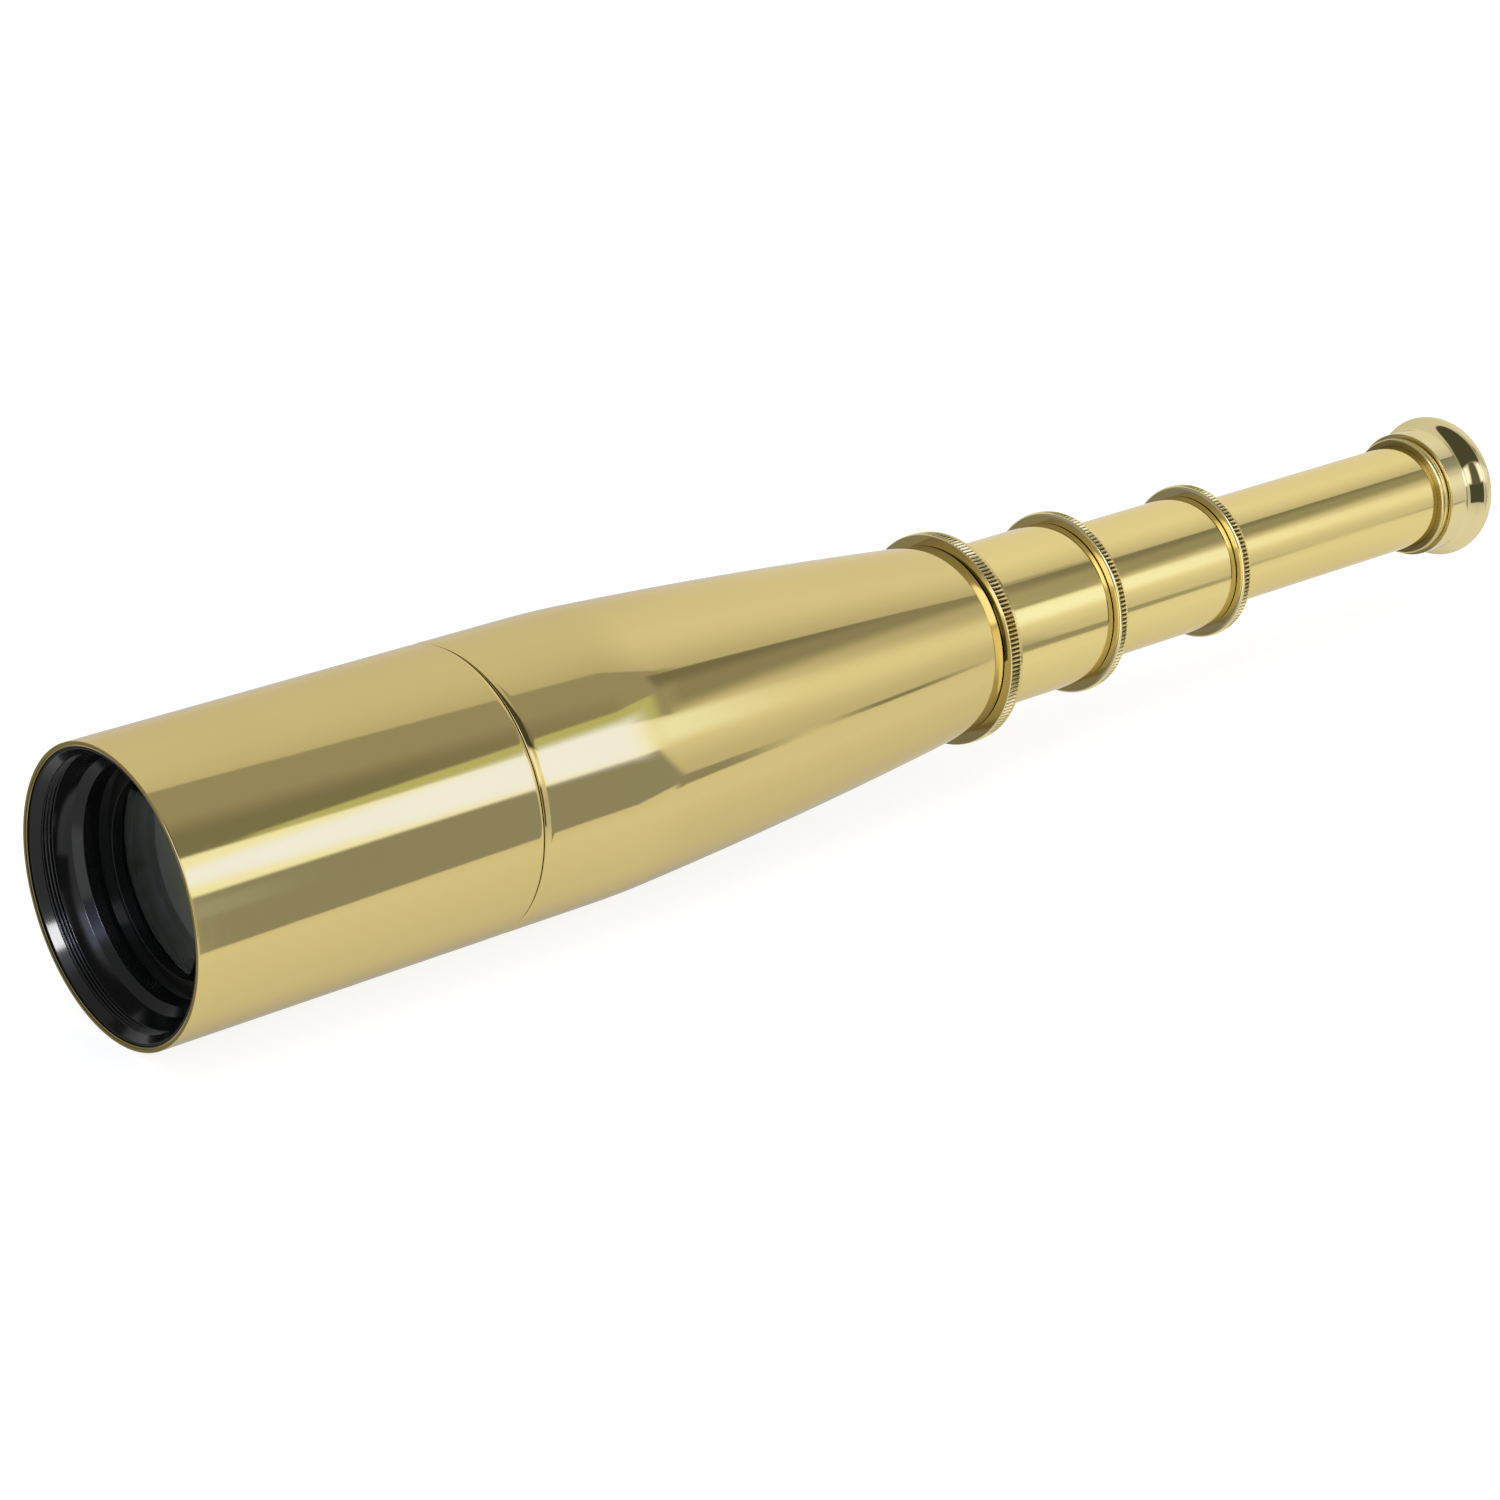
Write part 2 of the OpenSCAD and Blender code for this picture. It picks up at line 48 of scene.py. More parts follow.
# The view of the photograph: a long lens, from above the mouth and in front of the barrel
cameraView = {
    "place": (-0.3366, -0.5695, 0.2899),
    "right": (0.7556, -0.6551, 0.0),
    "down": (-0.2435, -0.2806, -0.9284),
    "lens": 92.33, "sensor": 36,  # mm
    "near": 0.01, "far": 20,  # m, the nearest and farthest that it sees
}

cameraData = bpy.data.cameras.new("photoCamera")
camera = bpy.data.objects.new("photoCamera", cameraData)
bpy.context.scene.collection.objects.link(camera)
right = Vector(cameraView["right"]).normalized()
up = -Vector(cameraView["down"]).normalized()
back = right.cross(up)
turn = Matrix((right, up, back)).transposed().to_4x4()
camera.matrix_world = Matrix.Translation(cameraView["place"]) @ turn
cameraData.lens = cameraView["lens"]
cameraData.sensor_width = cameraView["sensor"]
cameraData.clip_start = cameraView["near"]
cameraData.clip_end = cameraView["far"]
bpy.context.scene.camera = camera
bpy.context.scene.view_settings.view_transform = "Standard"


def linearColour(hexText):
    # sRGB hex to linear: below 0.04045 divide by 12.92, above it the 2.4 power curve
    parts = np.array([int(hexText[i:i + 2], 16) for i in (1, 3, 5)]) / 255
    linear = np.where(parts <= 0.04045, parts / 12.92, ((parts + 0.055) / 1.055) ** 2.4)
    return (*linear.tolist(), 1.0)


def addNode(tree, kind, settings=None, links=None):
    # one node with its own settings; a link is another node's output or a plain value
    node = tree.nodes.new(kind)
    for name, value in (settings or {}).items():
        setattr(node, name, value)
    for name, source in (links or {}).items():
        if isinstance(source, bpy.types.NodeSocket):
            tree.links.new(source, node.inputs[name])
        else:
            node.inputs[name].default_value = source
    return node


# The studio around the spyglass, as seen in the metal. Angle runs round the optical axis from
# level behind (0) over the top (90) and level in front (180) to straight down (270). Reach
# is how far a direction leans along the axis: -1 towards the mouth, 1 towards the eyepiece.
studioTones = {  # grey of backdrop, ceiling and table at each angle
    "mouthSide": [(0, 0.26), (28, 0.36), (70, 0.42), (96, 0.60), (112, 1.15), (148, 1.30),
                  (160, 0.85), (176, 0.72), (244, 0.72), (292, 0.46), (316, 0.27), (360, 0.22)],
    "nearSide": [(0, 0.78), (15, 0.80), (30, 0.84), (48, 0.865), (68, 0.86), (82, 0.81),
                 (100, 0.68), (128, 0.60), (138, 0.66), (144, 0.80), (150, 1.12), (158, 1.28),
                 (165, 1.12), (172, 0.84), (180, 0.70), (196, 0.76), (204, 0.90), (216, 0.99),
                 (240, 1.02), (264, 1.02), (280, 0.98), (294, 0.86), (310, 0.70), (336, 0.62),
                 (360, 0.74)],
    "eyeSide": [(0, 0.88), (16, 0.92), (34, 0.95), (54, 0.985), (70, 1.01), (80, 0.985),
                (92, 0.89), (108, 0.72), (130, 0.66), (138, 0.72), (144, 0.84), (150, 1.01),
                (156, 1.09), (161, 1.10), (166, 1.08), (172, 1.02), (178, 0.93), (188, 0.82),
                (197, 0.78), (205, 0.97), (222, 0.99), (270, 0.96), (300, 0.88), (330, 0.80),
                (360, 0.84)],
}
# The reach at which the tones of one side give way to the next, and half the change's width
studioBlend = {"nearSide": (-0.25, 0.15), "eyeSide": (0.635, 0.045)}
slopeFrom = 150.0  # the angle from which a card's slope in reach is counted
# Cards in front of it, later ones over earlier ones. Each edge is a place and its slope:
# from and to are angles that change with reach, start and end are reaches that change with
# the angle past slopeFrom. Soft is half the width of each of the four edges.
studioCards = [
    {"name": "mouthEnd", "from": (-10, 0), "to": (370, 0), "start": (-1.2, 0),
     "end": (-0.94, 0), "soft": (1, 1, 0.05, 0.02), "colour": (0.34, 0.35, 0.35)},
    {"name": "frontTable", "from": (162, 0), "to": (262, 0), "start": (-1.02, 0),
     "end": (-0.80, 0), "soft": (8, 10, 0.02, 0.02), "colour": (1.42, 1.44, 1.44)},
    {"name": "ringWindow", "from": (96, 0), "to": (155, 0), "start": (-0.95, 0),
     "end": (-0.80, 0), "soft": (6, 5, 0.01, 0.01), "colour": (1.90, 2.10, 3.10)},
    {"name": "mouthWindow", "from": (104, 0), "to": (152, 0), "start": (-0.80, 0),
     "end": (-0.66, 0), "soft": (8, 4, 0.01, 0.01), "colour": (1.60, 1.62, 1.80)},
    {"name": "sideWindow", "from": (116, 0), "to": (148, 0), "start": (-0.68, 0),
     "end": (-0.43, 0), "soft": (6, 5, 0.02, 0.02), "colour": (2.20, 2.40, 3.20)},
    {"name": "dimFloor", "from": (292, 0), "to": (372, 0), "start": (-0.70, 0),
     "end": (-0.50, 0), "soft": (12, 4, 0.02, 0.03), "colour": (0.27, 0.25, 0.18)},
    {"name": "ceilingGap", "from": (39.5, 100), "to": (131, 23), "start": (0.440, 0),
     "end": (0.684, 0), "soft": (1.0, 1.0, 0.02, 0.006), "colour": (0.46, 0.455, 0.45)},
    {"name": "ceilingShade", "from": (104, 32), "to": (131, 23), "start": (0.440, 0),
     "end": (0.575, 0), "soft": (9, 1.0, 0.02, 0.05), "colour": (0.29, 0.30, 0.285)},
    {"name": "greenWall", "from": (181.8, -84), "to": (131, 23), "start": (0.50, 0),
     "end": (0.657, 0), "soft": (1.2, 1.5, 0.01, 0.012), "colour": (0.70, 0.79, 0.54)},
    {"name": "floorGap", "from": (170, 0), "to": (240, -56), "start": (0.478, 0),
     "end": (0.612, 0.00125), "soft": (1.6, 0.8, 0.004, 0.008), "colour": (0.40, 0.42, 0.465)},
    {"name": "floorStreak", "from": (176, 0), "to": (187, 0), "start": (0.478, 0),
     "end": (0.502, 0), "soft": (3, 3, 0.004, 0.012), "colour": (0.47, 0.52, 0.63)},
    {"name": "window", "from": (131, 23), "to": (169.5, 2), "start": (0.466, 0),
     "end": (0.640, 0), "soft": (1.6, 1.8, 0.006, 0.030), "colour": (1.32, 1.46, 1.72)},
    {"name": "windowCore", "from": (196, -94), "to": (124, 80), "start": (0.466, 0),
     "end": (0.610, 0), "soft": (4.5, 5, 0.006, 0.040), "colour": (1.35, 1.57, 3.10)},
    {"name": "windowFar", "from": (148, 0), "to": (167, 0), "start": (0.640, 0),
     "end": (0.715, 0), "soft": (4, 6, 0.03, 0.035), "colour": (1.27, 1.40, 1.68)},
    {"name": "farShade", "from": (110.5, 0), "to": (257.5, -167), "start": (0.684, 0),
     "end": (0.95, 0), "soft": (0.9, 7, 0.006, 0.05), "colour": (0.38, 0.39, 0.375)},
    {"name": "farGap", "from": (110.5, 0), "to": (186, -95), "start": (0.690, 0.0008),
     "end": (0.775, 0), "soft": (0.9, 6, 0.010, 0.04), "colour": (0.26, 0.265, 0.255)},
    {"name": "farEdge", "from": (198, 0), "to": (247, -60), "start": (0.655, 0),
     "end": (0.712, 0), "soft": (0.9, 0.7, 0.010, 0.020), "colour": (0.40, 0.41, 0.43)},
    {"name": "farLine", "from": (197.5, 0), "to": (201.5, 0), "start": (0.745, 0),
     "end": (0.79, 0), "soft": (0.8, 0.8, 0.014, 0.02), "colour": (0.34, 0.345, 0.35)},
    {"name": "roomUpper", "from": (66, 112), "to": (139, 6), "start": (-0.40, 0),
     "end": (0.445, 0), "soft": (4, 2, 0.03, 0.03), "colour": (0.085, 0.09, 0.07)},
    {"name": "roomLower", "from": (168, 0), "to": (197, 0), "start": (-0.40, 0),
     "end": (0.15, 0), "soft": (2, 1.2, 0.03, 0.05), "colour": (0.085, 0.09, 0.08)},
    {"name": "roomColumn", "from": (136, 0), "to": (170, 0), "start": (-0.40, 0),
     "end": (-0.20, 0.003), "soft": (2, 2, 0.03, 0.05), "colour": (0.15, 0.15, 0.12)},
    {"name": "roomWindow", "from": (142, 0), "to": (166, 0), "start": (-0.125, 0.004),
     "end": (0.30, 0), "soft": (2.5, 3, 0.05, 0.06), "colour": (1.40, 1.50, 1.80)},
]

world = bpy.data.worlds.new("paleStudio")
bpy.context.scene.world = world
world.use_nodes = True
tree = world.node_tree
tree.nodes.clear()
place = addNode(tree, "ShaderNodeTexCoord")
axes = addNode(tree, "ShaderNodeSeparateXYZ", links={0: place.outputs["Generated"]})
reach = axes.outputs["X"]
spin = addNode(tree, "ShaderNodeMath", {"operation": "ARCTAN2"},
               {0: axes.outputs["Z"], 1: axes.outputs["Y"]})
degrees = addNode(tree, "ShaderNodeMath", {"operation": "MULTIPLY"},
                  {0: spin.outputs[0], 1: 180 / math.pi})
angle = addNode(tree, "ShaderNodeMath", {"operation": "WRAP"},
                {0: degrees.outputs[0], 1: 360.0, 2: 0.0}).outputs[0]
share = addNode(tree, "ShaderNodeMath", {"operation": "DIVIDE"}, {0: angle, 1: 360.0})
tones = {}
for side, stops in studioTones.items():
    ramp = addNode(tree, "ShaderNodeValToRGB", links={0: share.outputs[0]})
    elements = ramp.color_ramp.elements
    while len(elements) < len(stops):
        elements.new(0.5)
    for element, (turned, grey) in zip(elements, stops):
        element.position = turned / 360
        element.color = (grey, grey, grey, 1)
    tones[side] = ramp.outputs["Color"]


def pastEdge(variable, other, edge, soft, rising):
    # smooth step from 0 to 1 where variable passes place + slope * other, or from 1 to 0
    line = addNode(tree, "ShaderNodeMath", {"operation": "MULTIPLY_ADD"},
                   {0: other, 1: edge[1], 2: edge[0]})
    past = addNode(tree, "ShaderNodeMath", {"operation": "SUBTRACT"},
                   {0: variable, 1: line.outputs[0]})
    return addNode(tree, "ShaderNodeMapRange", {"interpolation_type": "SMOOTHSTEP"}, {
        "Value": past.outputs[0], "From Min": -soft, "From Max": soft,
        "To Min": 0.0 if rising else 1.0, "To Max": 1.0 if rising else 0.0}).outputs[0]


pastFront = addNode(tree, "ShaderNodeMath", {"operation": "SUBTRACT"},
                    {0: angle, 1: slopeFrom}).outputs[0]
seen = tones["mouthSide"]
for side, (middle, soft) in studioBlend.items():
    seen = addNode(tree, "ShaderNodeMix", {"data_type": "RGBA"}, {
        "Factor": pastEdge(reach, angle, (middle, 0), soft, True), "A": seen,
        "B": tones[side]}).outputs["Result"]
for card in studioCards:
    softs = card["soft"]
    masks = [pastEdge(angle, reach, card["from"], softs[0], True),
             pastEdge(angle, reach, card["to"], softs[1], False),
             pastEdge(reach, pastFront, card["start"], softs[2], True),
             pastEdge(reach, pastFront, card["end"], softs[3], False)]
    mask = masks[0]
    for other in masks[1:]:
        mask = addNode(tree, "ShaderNodeMath", {"operation": "MULTIPLY"},
                       {0: mask, 1: other}).outputs[0]
    seen = addNode(tree, "ShaderNodeMix", {"data_type": "RGBA"},
                   {"Factor": mask, "A": seen, "B": (*card["colour"], 1)}).outputs["Result"]
# the camera and what passes through glass see plain white, and reflections see the studio
ray = addNode(tree, "ShaderNodeLightPath")
direct = addNode(tree, "ShaderNodeMath", {"operation": "MAXIMUM"},
                 {0: ray.outputs["Is Camera Ray"], 1: ray.outputs["Is Transmission Ray"]})
studio = addNode(tree, "ShaderNodeBackground", links={"Color": seen, "Strength": 1.0})
white = addNode(tree, "ShaderNodeBackground", links={"Color": (1, 1, 1, 1), "Strength": 1.0})
both = addNode(tree, "ShaderNodeMixShader",
               links={0: direct.outputs[0], 1: studio.outputs[0], 2: white.outputs[0]})
addNode(tree, "ShaderNodeOutputWorld", links={"Surface": both.outputs[0]})

# a wide soft lamp over the spyglass
softLamp = {"size": 1.4, "energy": 9, "place": (0.1, -0.25, 1.5)}

lamp = bpy.data.lights.new("softLamp", "AREA")
lamp.shape = "DISK"
lamp.size = softLamp["size"]
lamp.energy = softLamp["energy"]
lampObject = bpy.data.objects.new("softLamp", lamp)
lampObject.location = softLamp["place"]
lampObject.visible_glossy = False  # metal sees the studio, not this lamp
bpy.context.scene.collection.objects.link(lampObject)
print("camera, studio and lamp made")


sharpAngle = 32  # degrees between faces, past which an edge stays sharp


def meshPiece(name, grid, body, replaced, material, closedLoop=True, poles=False,
              groove=None):
    # grid[i, j] is outline point i at turn j; a quad joins each to its neighbours
    rows, columns = grid.shape[:2]
    i = np.arange(rows if closedLoop else rows - 1)[:, None]
    j = np.arange(columns)[None, :]
    following, beside = (i + 1) % rows, (j + 1) % columns
    faces = np.stack([i * columns + j, i * columns + beside,
                      following * columns + beside, following * columns + j], -1).reshape(-1, 4)
    points = grid.reshape(-1, 3) * metre
    corners = points[faces]
    spread = np.cross(corners[:, 2] - corners[:, 0], corners[:, 3] - corners[:, 1])
    if (spread * corners.mean(1)).sum() < 0:  # signed volume: turn the faces outwards
        faces = faces[:, ::-1]
    mesh = bpy.data.meshes.new(name)
    mesh.from_pydata(points.tolist(), [], faces.tolist())
    if poles:
        work = bmesh.new()
        work.from_mesh(mesh)
        bmesh.ops.remove_doubles(work, verts=work.verts, dist=1e-7)
        work.to_mesh(mesh)
        work.free()
    mesh.update()
    mesh.shade_smooth()
    mesh.set_sharp_from_angle(angle=math.radians(sharpAngle))
    mesh.materials.append(material)
    if groove is not None:  # 1 deep in a groove, darkened with polishing paste and painted shade; -1 on ridges, paled as rubbed brass with a painted highlight; 0 elsewhere
        depths = mesh.attributes.new("groove", "FLOAT", "POINT")
        depths.data.foreach_set("value", groove.ravel().astype(np.float32))
    piece = bpy.data.objects.new(name, mesh)
    bpy.context.scene.collection.objects.link(piece)
    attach(piece, body)
    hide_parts(replaced)
    return piece


def softened(corners, support=0.12, steps=5):
    # corners are x, radius and cut: a cut corner becomes a quadratic arc from cut before it
    # to cut after it, with a support point just outside each end to keep the shading flat
    table = np.array(corners, dtype=float)
    spots, cuts = table[:, :2], table[:, 2]
    made = []
    for k, cut in enumerate(cuts):
        if cut == 0:
            made.append(spots[k][None])
            continue
        before, after = spots[k - 1] - spots[k], spots[(k + 1) % len(spots)] - spots[k]
        longBefore, longAfter = np.hypot(*before), np.hypot(*after)
        before, after = before / longBefore, after / longAfter
        t = np.linspace(0, 1, steps + 1)[:, None]
        arc = spots[k] + before * cut * (1 - t) ** 2 + after * cut * t ** 2
        if longBefore > 2.5 * (cut + support):
            made.append((spots[k] + before * (cut + support))[None])
        made.append(arc)
        if longAfter > 2.5 * (cut + support):
            made.append((spots[k] + after * (cut + support))[None])
    return np.concatenate(made)


def turnedGrid(outline, around, offset=None):
    # each outline point turned about the X axis: y = r cos t, z = r sin t, in around steps;
    # offset, if given, is added to the radius as an array over outline point and turn
    t = np.arange(around) * 2 * np.pi / around
    radius = outline[:, 1][:, None] + (0 if offset is None else offset)
    radius = radius + 0 * t[None, :]
    x = outline[:, 0][:, None] + 0 * radius
    return np.stack([x, radius * np.cos(t), radius * np.sin(t)], -1)


def extent(node):
    # start, end and outer radius of a turned CAD node in mm, read from its box
    low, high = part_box(node)
    return low[0] / metre, high[0] / metre, high[2] / metre


def quarterArc(x, radius, width, height, start, end, steps=10):
    # part of an ellipse, from start to end degrees: x + width cos a, radius + height sin a
    a = np.radians(np.linspace(start, end, steps + 1))
    return np.stack([x + width * np.cos(a), radius + height * np.sin(a)], -1)


brassTones = {  # lines: how many per metre along the axis and across it
    # spun brass, polished and lacquered: warm gold where it sees a pale wall
    "barrelBrass": {"colour": "#d5c282", "worn": "#d2be7d", "lines": (420, 30), "rough": 0.038},
    # drawn tube, a little paler, with fine marks along its length from sliding
    "drawBrass": {"colour": "#e2cf8b", "worn": "#dfcb86", "lines": (20, 900), "rough": 0.07},
    # turned and bright dipped, a shade greyer
    "cupBrass": {"colour": "#dfd29f", "worn": "#dbcd97", "lines": (420, 30), "rough": 0.04},
}
noiseSpan = {"From Min": 0.3, "From Max": 0.7}  # the values that a noise mostly takes
brassDetail = {  # what all the brass shares
    "edge": "#fcf5e4",  # brass seen at a grazing angle stays yellow
    "crest": "#e8daa8",  # rubbed free of lacquer, with a painted highlight: ridges, and faces turned last
    "grooveDirtAndShade": "#171006",  # dark polishing paste left in grooves, with painted shade there
    "bore": "#15130f", "boreRough": 0.6,  # blackened inside
    "cloudScale": 34.0, "speckScale": 1500.0,  # patches per metre
    "roughDrift": (-0.015, 0.025),  # on the smoothest and the roughest line
    "grooveRough": 0.35,  # added at the bottom of a groove
    "waveHeight": 0.03,  # mm, of the clouds; specks and lines are shares of it
    "speckShare": 0.012, "lineShare": 0.008,
}


def brassMaterial(name, tone):
    # polished brass under clear lacquer. The colour drifts between two close tones with a
    # noise of 30 mm. Lines from the lathe or from sliding, 0.03 mm wide on the real one, are
    # too fine to show and drawn 1 to 2 mm wide: a stretched noise in gloss and height.
    # Grooves mix in dark polishing paste with painted shade, ridges a pale rubbed-brass tone with
    # a painted highlight, and faces that look at the axis, in the bores, are blackened.
    detail = brassDetail
    material = bpy.data.materials.new(name)
    material.use_nodes = True
    tree = material.node_tree
    tree.nodes.clear()
    place = addNode(tree, "ShaderNodeTexCoord")
    cloud = addNode(tree, "ShaderNodeTexNoise", links={
        "Vector": place.outputs["Object"], "Scale": detail["cloudScale"], "Detail": 2.0,
        "Roughness": 0.5})
    speck = addNode(tree, "ShaderNodeTexNoise", links={
        "Vector": place.outputs["Object"], "Scale": detail["speckScale"], "Detail": 2.0,
        "Roughness": 0.6})
    tint = addNode(tree, "ShaderNodeMix", {"data_type": "RGBA"}, {
        "Factor": cloud.outputs["Fac"], "A": linearColour(tone["colour"]),
        "B": linearColour(tone["worn"])})
    along, across = tone["lines"]
    stretch = addNode(tree, "ShaderNodeMapping", links={
        "Vector": place.outputs["Object"], "Scale": (along, across, across)})
    lines = addNode(tree, "ShaderNodeTexNoise", links={
        "Vector": stretch.outputs[0], "Scale": 1.0, "Detail": 4.0, "Roughness": 0.65})
    groove = addNode(tree, "ShaderNodeAttribute", {"attribute_name": "groove"})
    ridge = addNode(tree, "ShaderNodeMapRange", links={
        "Value": groove.outputs["Fac"], "From Min": -0.1, "From Max": -0.7})  # 1 on ridges
    # ridges pale towards the crest tone: rubbed brass with a painted highlight
    bright = addNode(tree, "ShaderNodeMix", {"data_type": "RGBA"}, {
        "Factor": ridge.outputs[0], "A": tint.outputs["Result"],
        "B": linearColour(detail["crest"])})
    # grooves darken towards the groove tone: polishing paste and painted shade in the hollows
    dirtAndShade = addNode(tree, "ShaderNodeMix", {"data_type": "RGBA"}, {
        "Factor": groove.outputs["Fac"], "A": bright.outputs["Result"],
        "B": linearColour(detail["grooveDirtAndShade"])})
    radial = addNode(tree, "ShaderNodeVectorMath", {"operation": "MULTIPLY"}, {
        0: place.outputs["Object"], 1: (0, 1, 1)})
    outward = addNode(tree, "ShaderNodeVectorMath", {"operation": "NORMALIZE"}, {
        0: radial.outputs[0]})
    faceWay = addNode(tree, "ShaderNodeNewGeometry")
    facing = addNode(tree, "ShaderNodeVectorMath", {"operation": "DOT_PRODUCT"}, {
        0: outward.outputs[0], 1: faceWay.outputs["True Normal"]})
    bore = addNode(tree, "ShaderNodeMapRange", links={
        "Value": facing.outputs["Value"], "From Min": -0.5, "From Max": -0.8})  # 1 in bores
    finish = addNode(tree, "ShaderNodeMix", {"data_type": "RGBA"}, {
        "Factor": bore.outputs[0], "A": dirtAndShade.outputs["Result"],
        "B": linearColour(detail["bore"])})
    gloss = addNode(tree, "ShaderNodeMapRange", links={
        "Value": lines.outputs["Fac"], **noiseSpan,
        "To Min": tone["rough"] + detail["roughDrift"][0],
        "To Max": tone["rough"] + detail["roughDrift"][1]})
    dull = addNode(tree, "ShaderNodeMath", {"operation": "MULTIPLY_ADD", "use_clamp": True}, {
        0: groove.outputs["Fac"], 1: detail["grooveRough"], 2: gloss.outputs[0]})
    roughness = addNode(tree, "ShaderNodeMix", {"data_type": "FLOAT"}, {
        "Factor": bore.outputs[0], "A": dull.outputs[0], "B": detail["boreRough"]})
    waves = addNode(tree, "ShaderNodeMath", {"operation": "MULTIPLY_ADD"}, {
        0: speck.outputs["Fac"], 1: detail["speckShare"], 2: cloud.outputs["Fac"]})
    height = addNode(tree, "ShaderNodeMath", {"operation": "MULTIPLY_ADD"}, {
        0: lines.outputs["Fac"], 1: detail["lineShare"], 2: waves.outputs[0]})
    bump = addNode(tree, "ShaderNodeBump", links={
        "Height": height.outputs[0], "Strength": 1.0,
        "Distance": detail["waveHeight"] * metre})
    shader = addNode(tree, "ShaderNodeBsdfPrincipled", links={
        "Base Color": finish.outputs["Result"], "Roughness": roughness.outputs[0],
        "Metallic": 1.0, "Specular Tint": linearColour(detail["edge"]),
        "Normal": bump.outputs[0]})
    addNode(tree, "ShaderNodeOutputMaterial", links={"Surface": shader.outputs[0]})
    return material


def plainMaterial(name, look):
    # colour and height follow one noise of grain millimetres between two tones, and the
    # roughness runs with it from 0.85 to 1.15 of its value
    material = bpy.data.materials.new(name)
    material.use_nodes = True
    tree = material.node_tree
    tree.nodes.clear()
    place = addNode(tree, "ShaderNodeTexCoord")
    speck = addNode(tree, "ShaderNodeTexNoise", links={
        "Vector": place.outputs["Object"], "Scale": 1 / (look["grain"] * metre),
        "Detail": 4.0, "Roughness": 0.6})
    tint = addNode(tree, "ShaderNodeMix", {"data_type": "RGBA"}, {
        "Factor": speck.outputs["Fac"], "A": linearColour(look["colour"]),
        "B": linearColour(look["worn"])})
    gloss = addNode(tree, "ShaderNodeMapRange", links={
        "Value": speck.outputs["Fac"], **noiseSpan,
        "To Min": look["rough"] * 0.85, "To Max": look["rough"] * 1.15})
    bump = addNode(tree, "ShaderNodeBump", links={
        "Height": speck.outputs["Fac"], "Strength": 0.6,
        "Distance": look["height"] * metre})
    shader = addNode(tree, "ShaderNodeBsdfPrincipled", links={
        "Base Color": tint.outputs["Result"], "Roughness": gloss.outputs[0],
        "Metallic": look["metallic"], "Normal": bump.outputs[0], **look["other"]})
    addNode(tree, "ShaderNodeOutputMaterial", links={"Surface": shader.outputs[0]})
    return material


plainLooks = {  # grain and height in mm
    # black anodised aluminium, satin: nearly black, with a soft grey sheen from fine blasting
    "blackAnodised": {"colour": "#0a0b0a", "worn": "#101110", "grain": 0.25, "rough": 0.13,
                      "metallic": 0.0, "height": 0.001, "other": {"Specular IOR Level": 0.36}},
    # brass blackened in acid, matt brown black, as inside the barrel
    "blackenedBrass": {"colour": "#2a241b", "worn": "#3b3224", "grain": 0.8, "rough": 0.5,
                       "metallic": 1.0, "height": 0.003, "other": {}},
    # crown and flint glass, polished, with a single coat: a flat dark grey over the black bore
    "coatedGlass": {"colour": "#9da59f", "worn": "#99a29b", "grain": 6.0, "rough": 0.012,
                    "metallic": 0.0, "height": 0.0,
                    "other": {"Transmission Weight": 1.0, "IOR": 1.52,
                              "Specular IOR Level": 0.30}},
}

finishes = {name: brassMaterial(name, tone) for name, tone in brassTones.items()}
finishes.update({name: plainMaterial(name, look) for name, look in plainLooks.items()})
print("materials made:", ", ".join(finishes))

# mm: the front edge is flat, rimCut and mouthCut outside and inside it. The rear edge is
# rolled in over rolledEdge and the shell behind it rounded over roundedEdge, both down by
# drop, with a point rolledFlat and roundedFlat away from them to keep the straight part flat.
tubeShape = {"wall": 1.05, "rolledEdge": 0.8, "roundedEdge": 2.0, "drop": 0.35,
             "rolledFlat": 0.4, "roundedFlat": 0.5, "rimCut": 0.22, "mouthCut": 0.3,
             "endCut": 0.1, "around": 288}

start, end, radius = extent("objective_tube")
wall = tubeShape["wall"]
bore = radius - wall
rolled = quarterArc(end - tubeShape["rolledEdge"], radius - tubeShape["drop"],
                    tubeShape["rolledEdge"], tubeShape["drop"], 90, 0)
mouthCut, endCut = tubeShape["mouthCut"], tubeShape["endCut"]
front = softened([(start, bore + mouthCut, 0.06), (start, radius, tubeShape["rimCut"]),
                  (end, radius, 0)])[:-1]
outline = np.concatenate([
    front, [[rolled[0, 0] - tubeShape["rolledFlat"], radius]], rolled,
    [[end, bore + endCut], [end - endCut, bore], [start + mouthCut, bore]]])
meshPiece("frontTube", turnedGrid(outline, tubeShape["around"]), "barrel", "objective_tube",
          finishes["barrelBrass"])

# mm: where the bend starts and how long it is, how far the cone bows out, its last radius
taperShape = {"shoulderFrom": 22.675, "bend": 13.0, "bow": 0.8, "endRadius": 21.19,
              "endCut": 0.12, "endStep": 0.03, "bendSteps": 33, "coneSteps": 70}

start, end, radius = extent("tapered_barrel")
shoulder = start + taperShape["shoulderFrom"] + taperShape["bend"] / 2
long = end - shoulder


def bowedRadius(u):
    # straight cone from the barrel's radius to the end's, bowed out by a parabola
    return (radius + (taperShape["endRadius"] - radius) * u
            + 4 * taperShape["bow"] * u * (1 - u))


